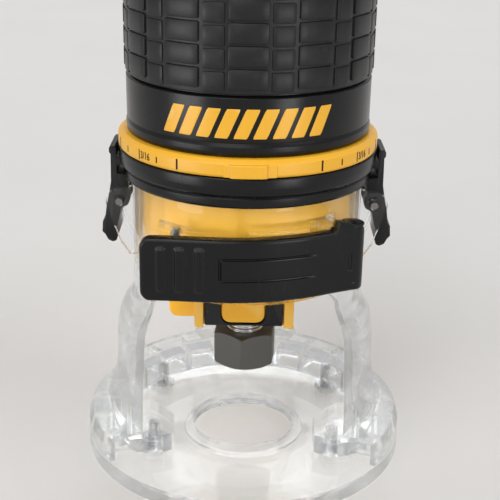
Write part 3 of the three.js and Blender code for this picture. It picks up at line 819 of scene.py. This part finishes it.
def markItem(wide, low, high):
    path = roundPath(ring["radius"] - 0.1)
    return facedSlab("mark", path, -wide / 2, wide / 2, low, high, 0.1 + ring["inkHeight"], 0.05, 0.1, 2, 2)


def bentText(text, angle, low, height):
    curve = bpy.data.curves.new("digits", "FONT")
    curve.body = text
    curve.size = height * 1.35
    curve.resolution_u = 3
    curve.extrude = 0.02
    curve.offset = 0.045  # bold
    holder = bpy.data.objects.new("digits", curve)
    bpy.context.scene.collection.objects.link(holder)
    graph = bpy.context.evaluated_depsgraph_get()
    mesh = bpy.data.meshes.new_from_object(holder.evaluated_get(graph))
    discard(holder)
    piece = bpy.data.objects.new("digits", mesh)
    bpy.context.scene.collection.objects.link(piece)
    radius = ring["radius"] + 0.015
    for vertex in mesh.vertices:
        x, y, z = vertex.co
        flat = polar(radius + z, angle + math.degrees(x * 0.8 / radius))
        vertex.co = Vector((*flat, low + y)) * mm
    tidyMesh(piece)
    return piece


def scaleInk():
    parts = []
    step = ring["markStep"]
    first = ring["firstMark"]
    parts.append(repeated("majors", markItem(0.55, 93.15, 95.95), 8, first, 4 * step))
    parts.append(repeated("minors", markItem(0.44, 93.6, 95.3), 14, first + step, 2 * step))
    for index, text in ring["labels"].items():
        angle = first + index * step
        bar = repeated("bar", markItem(0.4, 93.2, 95.9), 1, angle - 0.5)
        parts += [bar, bentText(text, angle + 0.4, 93.7, ring["digitHeight"])]
    return combine("scaleMarks", parts)


finishPiece(depthRing(), yellow, "ring", "yellow_plastic", "depth_ring")
finishPiece(scaleInk(), ink, "ring", "black_plastic")
print("depth ring made")


# motor shell

barrel = {"radius": 33.4, "low": 97.3, "high": 164.8, "bars": 9, "barStep": 8.4}


def motorBarrel():
    return turned("motorBarrel", [
        (31.2, barrel["low"], 0.2),
        (33.3, barrel["low"], 0.3),
        (33.5, 98.4, 0.5),
        (33.5, 99.6, 0.6),
        (33.3, 100.2, 0.3),
        (33.1, 100.6, 0.15),
        (33.3, 100.9, 0.2),
        (33.35, 112.0, 0.2),
        (32.4, 112.6, 0.2),
        (32.4, barrel["high"]),
        (30.6, barrel["high"]),
        (30.6, 110),
        (30.4, barrel["low"]),
    ], 180, 4)


def slantedBar():
    path = roundPath(barrel["radius"] - 0.2)
    bar = facedSlab("bar", path, -1.75, 1.75, 101.9, 109.4, 0.22, 0.05, 0.3, 4, 12)
    for vertex in bar.data.vertices:  # leans each bar to the right as it rises
        angle = math.degrees(math.atan2(vertex.co.x, -vertex.co.y))
        radius = math.hypot(vertex.co.x, vertex.co.y)
        lean = (vertex.co.z / mm - 106) * 0.75
        vertex.co.x, vertex.co.y = polar(radius, angle + lean)
    return bar


def barrelBadge():
    first = -barrel["barStep"] * (barrel["bars"] - 1) / 2
    return repeated("barrelBadge", slantedBar(), barrel["bars"], first, barrel["barStep"])


finishPiece(motorBarrel(), black, "motor", "black_plastic", "motor_housing")
finishPiece(barrelBadge(), yellow, "motor", "yellow_plastic")

grip = {"radius": 33.2, "low": 112.9, "high": 164.8, "rows": 9, "around": 12, "wide": 17.5, "narrow": 10.5}


def gripSleeve():
    sleeve = turned("sleeve", [
        (32.7, grip["low"], 0.2),
        (grip["radius"], grip["low"] + 0.1, 0.3),
        (grip["radius"], grip["high"] - 0.1, 0.3),
        (32.7, grip["high"], 0.2),
    ], 120)
    parts = [sleeve]
    radius = grip["radius"] - 0.1
    rowStep = (grip["high"] - grip["low"] - 1.6) / grip["rows"]
    for row in range(grip["rows"]):
        low = grip["low"] + 0.5 + row * rowStep
        for wide, first, rise, raised in ((grip["wide"], 0, 0.8, 0.65), (grip["narrow"], 15, 0, 0.45)):
            half = radius * math.radians(wide / 2)
            start = low + rise
            pad = facedSlab(
                "pad", roundPath(radius), -half, half, start, start + rowStep - 0.55, raised, 0.35, 0.8,
                5, 1, fine=2,
            )
            parts.append(repeated("pads", pad, grip["around"], first, 30))
    return combine("gripSleeve", parts)


finishPiece(gripSleeve(), rubber, "motor", "black_rubber", "grip_sleeve")
print("barrel and grip made")


# motor nose

nose = {
    "drumRadius": 30.0,
    "drumLow": 58.0,
    "drumHigh": 111,
    "blockLow": 41.5,
    "cavity": 9.3,
    "shaftHole": 7.25,
    "lockX": -0.5,
    "lockHeight": 49,
    "stem": 2,
    "stemHole": 2.4,
}


def noseHousing():
    drum = turned("noseHousing", [
        (7.2, nose["drumLow"]),
        (nose["drumRadius"] - 1, nose["drumLow"], 0.6),
        (nose["drumRadius"], nose["drumLow"] + 1.2, 0.6),
        (nose["drumRadius"], nose["drumHigh"]),
        (27, nose["drumHigh"]),
        (27, 61.7),
        (7.2, 61.7),
    ], 144)
    block = box("block", -14.3, 13.8, -14.4, 12, nose["blockLow"], 60, 0.6)
    lobe = [(-21.5, 44, 2.6), (-13.2, 44, 0.3), (-13.2, 59.4), (-21.5, 59.4)]
    side = prism("side", lobe, -12, -2, "y", 0.5)
    boolean(drum, [block], "UNION")
    boolean(drum, [side], "UNION")
    lockWindow = [(-7.2, 42.6), (6.2, 42.6), (6.2, 55), (-7.2, 55)]
    stem = circle(nose["lockX"], nose["lockHeight"], nose["stemHole"])
    return boolean(drum, [
        hole("cavity", nose["cavity"], 40, 58, 64),
        hole("shaftHole", nose["shaftHole"], 40, 62.5, 60),
        box("coverSeat", -11.8, 11.1, -20, -11.6, 40, 57.7),
        prism("buttonSeat", lockWindow, -20, -9.9, "y"),
        prism("stemHole", stem, -12, 0, "y"),
    ])


def noseCover():
    outline = [(-11.4, 42.3, 0.6), (10.7, 42.3, 0.6), (10.7, 57.4, 0.4), (-11.4, 57.4, 0.4)]
    cover = prism("noseCover", outline, -14.25, -11.9, "y", 0.35)
    window = [(-6.95, 42.9, 2.7), (5.95, 42.9, 2.7), (5.95, 54.9, 1), (-6.95, 54.9, 1)]
    return boolean(cover, [prism("window", window, -20, 0, "y")])


def lockButton():
    outline = [(-6.6, 43.2, 2.5), (5.6, 43.2, 2.5), (5.6, 54.5, 0.9), (-6.6, 54.5, 0.9)]
    pad = prism("pad", outline, -14.2, -12.2, "y", 0.5)
    stem = circle(nose["lockX"], nose["lockHeight"], nose["stem"])
    return combine("lockButton", [pad, prism("stem", stem, -12.3, -7.7, "y", 0.3)])


lockSpring = {"radius": 3.2, "wire": 0.28, "back": -10.2, "front": -12.02, "turns": 2.5, "pressed": 0.2}


def lockSpringCoil():  # a wire wound round the stem, along Y
    steps, sides = 60, 8
    wire = lockSpring["wire"]
    near, far = lockSpring["back"] - wire, lockSpring["front"] + wire
    verts, faces = [], []
    for i in range(steps + 1):
        turn = 2 * math.pi * lockSpring["turns"] * i / steps
        for j in range(sides):
            around = 2 * math.pi * j / sides
            radius = lockSpring["radius"] + wire * math.cos(around)
            x = nose["lockX"] + radius * math.cos(turn)
            y = near + (far - near) * i / steps + wire * math.sin(around)
            verts.append((x, y, nose["lockHeight"] + radius * math.sin(turn)))
    for i in range(steps):
        for j in range(sides):
            a, b = i * sides + j, i * sides + (j + 1) % sides
            faces.append((a, b, b + sides, a + sides))
    faces += [tuple(range(sides)), tuple(steps * sides + j for j in range(sides))]
    return newPiece("lockSpring", verts, faces)


spring = finishPiece(lockSpringCoil(), springWire, "motor", "spring_steel", "lock_spring")
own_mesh(spring)
finishPiece(noseHousing(), yellow, "motor", "yellow_plastic", "nose_housing")
finishPiece(noseCover(), black, "motor", "black_plastic", "nose_cover")
finishPiece(lockButton(), yellow, "lock_button", "yellow_plastic", "spindle_lock_button")
print("nose made")


# spindle and collet nut

nut = {"flats": 17.0, "low": 25.5, "high": 36.0, "turn": -6, "boreLow": 4.35, "boreHigh": 5.6}


def colletNut():
    across = nut["flats"] / math.sqrt(3)
    corners = [polar(across, nut["turn"] + 60 * k) for k in range(6)]
    hexagon = prism("colletNut", [(x, y, 0.35) for x, y in corners], nut["low"], nut["high"], "z", 0.15)
    cone = turned("cone", [
        (0, nut["low"] - 0.01),
        (8.5, nut["low"] - 0.01, 0.2),
        (9.9, nut["low"] + 0.85, 0.2),
        (9.9, nut["high"] - 0.85, 0.2),
        (8.5, nut["high"] + 0.01, 0.2),
        (0, nut["high"] + 0.01),
    ], 96)
    boolean(hexagon, [cone], "INTERSECT")
    mouth = nut["boreLow"] + 0.6
    return boolean(hexagon, [
        turned("low", [
            (0, 20), (mouth, 20), (mouth, 25.8, 0.2), (nut["boreLow"], 26.4), (nut["boreLow"], 28), (0, 28),
        ], 48),
        hole("high", nut["boreHigh"], 27, 40, 48),
    ])


spindle = {"radius": 5.3, "shaft": 4.6, "grooves": (36.2, 37.6, 39.6), "grooveDeep": 0.45}


def spindlePiece():
    radius = spindle["radius"]
    deep = radius - spindle["grooveDeep"]
    grooves = []
    for low in spindle["grooves"]:
        grooves += [(radius, low, 0.12), (deep, low + 0.3, 0.1)]
        grooves += [(deep, low + 0.8, 0.1), (radius, low + 1.0, 0.12)]
    return closeUp(turned("spindleShaft", [
        (0, 44.5),
        (4.3, 43),
        (4.3, 27.3, 0.2),
        (radius, 27.3, 0.3),
        *grooves,
        (radius, 41.0, 0.1),
        (5.2, 41.2),
        (5.2, 54, 0.2),
        (6.4, 54, 0.3),
        (6.4, 61.7, 0.3),
        (5, 61.7, 0.2),
        (5, 71),
        (spindle["shaft"], 71.4),
        (spindle["shaft"], 175),
        (4, 175.4),
        (4, 185.2, 0.5),
        (0, 185.2),
    ], 64, 3))


finishPiece(colletNut(), blackOxide, "rotor", "black_oxide", "collet_nut", angle=20)
finishPiece(spindlePiece(), chrome, "rotor", "spindle_chrome", "spindle")
print("spindle made")


# clamp lever

lever = {
    "low": 58.6,
    "high": 76.0,
    "step": 78.8,
    "stepX": 23.9,
    "thick": 2.9,
    "edge": 0.9,
    "corner": 2.9,
    "ribs": (-21.8, -17.0, -11.8),
    "ribWide": 1.5,
    "ribRaise": 0.55,
    "panel": (-6.5, 64.9, 19.0, 70.8),
    "groove": 0.35,
    "slotX": 27.6,
    "knuckle": 3.4,
    "knuckleHeights": ((58.9, 61.3), (76.5, 77.1)),
}
leverLine = [
    (-27.3, -35.35), (-20.5, -35.45), (-14.5, -35.85), (-6.5, -36.35), (0.3, -36.15), (6.2, -35.25),
    (13.8, -33.0), (19.0, -30.75), (23.7, -28.4), (27.8, -26.45), (30.1, -25.3), (31.2, -23.9),
    (31.35, -22.4),
]


def smoothLine(points, steps=12):  # a rounded line through the points, with its length and outward normals
    ends = [points[0], *points, points[-1]]
    line = []
    for i in range(1, len(ends) - 2):
        a, b, c, d = (Vector(p) for p in ends[i - 1:i + 3])
        for k in range(steps):
            t = k / steps
            straight = 2 * b + (c - a) * t
            bend = (2 * a - 5 * b + 4 * c - d) * t**2 + (3 * b - a - 3 * c + d) * t**3
            line.append(0.5 * (straight + bend))
    line.append(Vector(points[-1]))
    lengths = [0.0]
    for a, b in zip(line, line[1:]):
        lengths.append(lengths[-1] + (b - a).length)
    return line, lengths


faceLine, faceLengths = smoothLine(leverLine)


def leverPath(s):  # the inner face, so that the slab's thickness ends on the outer one
    index = max(i for i, length in enumerate(faceLengths) if length <= max(s, 0)) if s > 0 else 0
    index = min(index, len(faceLine) - 2)
    a, b = faceLine[index], faceLine[index + 1]
    t = (s - faceLengths[index]) / (faceLengths[index + 1] - faceLengths[index])
    before, after = faceLine[max(index - 1, 0)], faceLine[min(index + 2, len(faceLine) - 1)]
    along = ((b - before) * (1 - t) + (after - a) * t).normalized()
    point = a.lerp(b, t)
    normal = Vector((along.y, -along.x))
    return point.x - normal.x * lever["thick"], point.y - normal.y * lever["thick"], normal.x, normal.y


def leverX(s):  # X of the outer face at a length along it
    x, y, nx, ny = leverPath(s)
    return x + nx * lever["thick"]


def leverTop(s):
    x = leverX(s)
    rise = lever["step"] - lever["high"] - 0.29 * max(x - lever["stepX"], 0)
    return lever["high"] + rise * step01(x, lever["stepX"] - 0.4, lever["stepX"] + 0.4)


def leverRelief(s, z):
    x = leverX(s)
    out = 0.0
    for centre in lever["ribs"]:
        across = abs(x - centre) / lever["ribWide"]
        along = plateau(z, 60.9, 62.3, 72.8, 74.2)
        out += lever["ribRaise"] * (1 - step01(across, 0.45, 1.0)) * along
    x0, z0, x1, z1 = lever["panel"]
    level = min(abs(z - z0), abs(z - z1))
    line = (1 - step01(level, 0.12, 0.4)) * plateau(x, x0 - 0.3, x0, x1 - 3, x1)
    side = (1 - step01(abs(x - x0), 0.12, 0.4)) * plateau(z, z0 - 0.3, z0, z1, z1 + 0.3)
    slotEdge = abs(abs(x - lever["slotX"]) - 0.45)
    slot = (1 - step01(slotEdge, 0.08, 0.25)) * plateau(z, 64.4, 64.9, 69.6, 70.1)
    return out - lever["groove"] * max(line, side) - 0.2 * slot


def clampLever():
    parts = [facedSlab(
        "bar", leverPath, 0, faceLengths[-1], lever["low"], leverTop, lever["thick"], lever["edge"],
        lever["corner"], 300, 84, leverRelief,
    )]
    pin, outer = base["pivotHole"], lever["knuckle"]
    for low, high in lever["knuckleHeights"]:
        profile = [(pin, low), (outer, low, 0.3), (outer, high, 0.3), (pin, high)]
        parts.append(turned("knuckle", profile, 40, at=leverPivot))
    return combine("clampLever", parts)


finishPiece(clampLever(), black, "lever", "black_plastic", "clamp_lever")
print("clamp lever made")


# side latches

latch = {"half": 6.2, "hub": 2.7, "edge": 0.45, "room": 3.1, "roomHalf": 2.7}


def sideLatch(sign, name):
    x, z = latchPivot
    hub = arc(x, z, latch["hub"], 140, 226, 9)
    hook = [
        (36.05, 91.4), (36.05, 89.2), (34.4, 89.2), (34.7, 86.8), (36.05, 86.8), (36.05, 84.2),
        (33.5, 83.9, 0.3), (33.3, 79.8, 0.5),
    ]
    tail = [
        (35, 74.4, 1), (36.3, 68.4, 2), (36, 66.4, 1), (36.6, 64.6, 0.6), (37.6, 64.2, 0.5),
        (38.9, 64.8, 0.6), (39.7, 66.4, 0.3), (40.5, 67.2, 0.6), (40.3, 70.3, 0.6), (39.6, 71, 0.4),
    ]
    back = [
        (39.2, 74.3, 2), (38.3, 78.5, 3), (37.7, 82, 4), (37.6, 89.8, 0.4), (38, 90.3, 0.3),
        (38, 91.6, 0.5), (37.4, 92.1, 0.4), (36.4, 92.1, 0.3),
    ]
    outline = mirrored([*hook, *hub, *tail, *back], sign)
    body = prism(name, outline, -latch["half"], latch["half"], "y")
    pin = circle(sign * x, z, base["latchHole"])
    room = circle(sign * x, z, latch["room"])
    half = latch["roomHalf"]
    boolean(body, [prism("pinHole", pin, -9, 9, "y"), prism("springRoom", room, -half, half, "y")])
    return softEdges(body, latch["edge"])


for side, sign in (("left", -1), ("right", 1)):
    arm = sideLatch(sign, side + "LatchArm")
    finishPiece(arm, satinBlack, "latch_" + side, "black_plastic", side + "_latch", angle=28)
print("latches made")


# top cap, switch, dial and gland

cap = {"low": 165.1, "top": 201.5, "radius": 33.6, "sideVents": 5, "ventStep": 20, "ventStarts": (60, 220)}
switchHeight = 178.5
dialAt = (0, -11)
glandAt = (0, 10.5)
capScrews = [polar(22, angle) for angle in (60, 180, 300)]


def topCap():
    shell = turned("topCap", [
        (0, 198.5),
        (24.5, 198.5, 3),
        (28.5, 195.5, 4),
        (30.3, 186, 6),
        (30.4, cap["low"]),
        (cap["radius"] - 0.3, cap["low"], 0.2),
        (cap["radius"], cap["low"] + 0.5, 0.3),
        (cap["radius"], 184, 8),
        (32.6, 193, 8),
        (29, 199.6, 5),
        (26.0, cap["top"], 4),
        (0, cap["top"]),
    ], 160)
    frameOutline = [(-13, 168, 3), (13, 168, 3), (13, 189, 3), (-13, 189, 3)]
    boolean(shell, [prism("frame", frameOutline, -35.2, -29.2, "y", 0.8)], "UNION")
    dialWell = [(0, 195), (8.4, 195), (8.4, 201.2, 0.2), (8.9, 201.6), (8.9, 210), (0, 210)]
    tools = [
        hole("inside", 30.3, 160, 181, 144),
        box("switchHole", -10.2, 10.2, -40, -25, switchHeight - 7.9, switchHeight + 7.9),
        turned("dialHole", dialWell, 48, at=dialAt),
        hole("glandHole", 5.6, 195, 210, 36, glandAt),
    ]
    seat = [(0, 195), (2.1, 195), (2.1, 199.6), (3.5, 199.6), (3.5, 210), (0, 210)]
    tools += [turned("seat", seat, 28, at=place) for place in capScrews]
    slot = [(-1.2, 169, 1.1), (1.2, 169, 1.1), (1.2, 182, 1.1), (-1.2, 182, 1.1)]
    for first in cap["ventStarts"]:
        vent = prism("vent", slot, -40, -25, "y")
        tools.append(repeated("vents", vent, cap["sideVents"], first, cap["ventStep"]))
    return closeUp(boolean(shell, tools))


def switchFrame():
    z = switchHeight
    outline = [(-9.8, z - 7.6, 1), (9.8, z - 7.6, 1), (9.8, z + 7.6, 1), (-9.8, z + 7.6, 1)]
    body = prism("switchFrame", outline, -34.9, -27.7, "y", 0.4)
    opening = [(-8.9, z - 6.3, 0.6), (8.9, z - 6.3, 0.6), (8.9, z + 6.3, 0.6), (-8.9, z + 6.3, 0.6)]
    return boolean(body, [prism("opening", opening, -40, -29.2, "y")])


def switchRocker():
    z = switchHeight
    outline = [(-31, z - 5), (-34.9, z - 5.2, 0.8), (-34.5, z, 8), (-36.1, z + 5.2, 0.8), (-31, z + 5)]
    return prism("switchRocker", outline, -8.5, 8.5, "x", 0.5)


def speedDial():
    x, y = dialAt
    body = turned("body", [
        (0, 192), (2, 192), (2, 197), (8, 197, 0.3), (8, 203, 0.7), (6.2, 203, 0.3), (5.8, 202.5, 0.3),
        (0, 202.5),
    ], 72)
    scallop = hole("scallop", 0.7, 201.4, 205, 12, (0, -8.3))
    boolean(body, [repeated("scallops", scallop, 20, 0, 18)])
    pointer = box("pointer", -0.4, 0.4, -5.4, -1.5, 202.4, 202.75, 0.1)
    piece = combine("speedDial", [body, pointer])
    for vertex in piece.data.vertices:
        vertex.co += Vector((x, y, 0)) * mm
    return piece


def cordGland():
    return turned("cordGland", [
        (3.6, 196.5, 0.2), (5.2, 196.5, 0.2), (5.2, 201.8), (6.4, 201.8, 0.2), (6.4, 202.5, 0.4),
        (5.6, 203, 0.3), (4.2, 203, 0.4), (3.6, 202.2, 0.4),
    ], 48, at=glandAt)


finishPiece(topCap(), yellow, "motor", "yellow_plastic", "top_cap", angle=30)
finishPiece(switchFrame(), satinBlack, "motor", "black_plastic", "switch_body")
finishPiece(switchRocker(), black, "rocker", "black_plastic", "switch_rocker")
finishPiece(speedDial(), satinBlack, "dial", "black_plastic", "speed_dial")
finishPiece(cordGland(), rubber, "motor", "black_rubber", "cord_gland")
print("top cap made")


# finishes of the pieces kept as they are

keptFinishes = {
    steel: (
        "sub_base_screw_", "clamp_strap", "lever_pivot_pin", "strap_anchor_pin", "cap_screw_",
        "lower_bearing", "upper_bearing", "collet", "lock_collar",
    ),
    springWire: (
        "left_latch_pin", "right_latch_pin", "left_latch_spring", "right_latch_spring", "brush_spring",
    ),
    laminations: ("stator_core", "armature_core"),
    copper: ("field_coil", "armature_winding", "commutator"),
    brass: ("brush_holder",),
    carbon: ("carbon_brush",),
    circuit: ("speed_control",),
    satinBlack: ("bearing_bridge", "cooling_fan"),
}
for finish, starts in keptFinishes.items():
    for name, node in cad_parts.items():
        if name.startswith(starts) and not node.hide_render:
            node.data.materials.clear()
            node.data.materials.append(finish)
print("kept pieces finished")


# floor, light and camera

studio = {"floor": (0.72, 0.7, 0.675), "world": (0.95, 0.965, 1.0), "worldStrength": 0.5, "sunWidth": 38}
floorHalf = 3000
floorHeight = -0.05  # just under the sub-base


def studioFloor():
    corners = [(-1, -1), (1, -1), (1, 1), (-1, 1)]
    verts = [(x * floorHalf, y * floorHalf, floorHeight) for x, y in corners]
    floor = newPiece("floor", verts, [(0, 1, 2, 3)])
    finish = Finish("paleFloor", Specular_IOR_Level=0.0)
    tone = finish.noise(9, 4)
    finish.set(Base_Color=finish.blend(tone, studio["floor"], tuple(0.93 * c for c in studio["floor"])))
    finish.set(Roughness=0.5 + tone * 0.1)
    floor.data.materials.append(finish.material)


def softSun(name, towards, strength, width):
    data = bpy.data.lights.new(name, "SUN")
    data.energy = strength
    data.angle = math.radians(width)
    light = bpy.data.objects.new(name, data)
    light.rotation_euler = (-Vector(towards)).to_track_quat("-Z", "Y").to_euler()
    bpy.context.scene.collection.objects.link(light)


def softbox(name, place, target, wide, tall, power):
    data = bpy.data.lights.new(name, "AREA")
    data.shape = "RECTANGLE"
    data.size, data.size_y = wide, tall
    data.energy = power
    light = bpy.data.objects.new(name, data)
    light.location = place
    light.rotation_euler = (Vector(target) - Vector(place)).to_track_quat("-Z", "Y").to_euler()
    light.visible_camera = False
    light.visible_diffuse = False  # only for its gleam
    bpy.context.scene.collection.objects.link(light)


def studioLight():
    world = bpy.data.worlds.new("studio")
    bpy.context.scene.world = world
    world.use_nodes = True
    sky = world.node_tree.nodes["Background"]
    sky.inputs["Color"].default_value = (*studio["world"], 1)
    sky.inputs["Strength"].default_value = studio["worldStrength"]
    softSun("keySun", (-0.3, -0.45, 0.85), 1.0, studio["sunWidth"])
    softSun("fillSun", (0.6, -0.35, 0.7), 0.5, studio["sunWidth"])
    softSun("rearSun", (0.1, 0.7, 0.75), 0.6, studio["sunWidth"])
    softSun("frontSun", (-0.25, -0.9, 0.4), 0.5, studio["sunWidth"])
    softbox("rightGlow", (0.24, -0.34, 0.07), (0, 0, 0.1), 0.12, 0.18, 0.3)
    softbox("leftGlow", (-0.3, -0.22, 0.07), (0, 0, 0.1), 0.18, 0.18, 0.42)


camera = {"place": (1.13, -297.5, 173.3), "down": 20.86, "roll": 0.97, "lens": 79.24, "sensor": 36}


def addCamera():
    data = bpy.data.cameras.new("camera")
    data.lens = camera["lens"]
    data.sensor_width = camera["sensor"]
    data.clip_start = 0.01
    holder = bpy.data.objects.new("camera", data)
    holder.location = Vector(camera["place"]) * mm
    down, roll = math.radians(camera["down"]), math.radians(camera["roll"])
    forward = Vector((0, math.cos(down), -math.sin(down)))
    up = Vector((0, math.sin(down), math.cos(down)))
    right = Vector((1, 0, 0)) * math.cos(roll) + up * math.sin(roll)
    top = right.cross(forward)
    holder.rotation_euler = Matrix((right, top, -forward)).transposed().to_euler()
    bpy.context.scene.collection.objects.link(holder)
    bpy.context.scene.camera = holder


bpy.context.scene.view_settings.view_transform = "Standard"
studioFloor()
studioLight()
addCamera()
print("studio made")
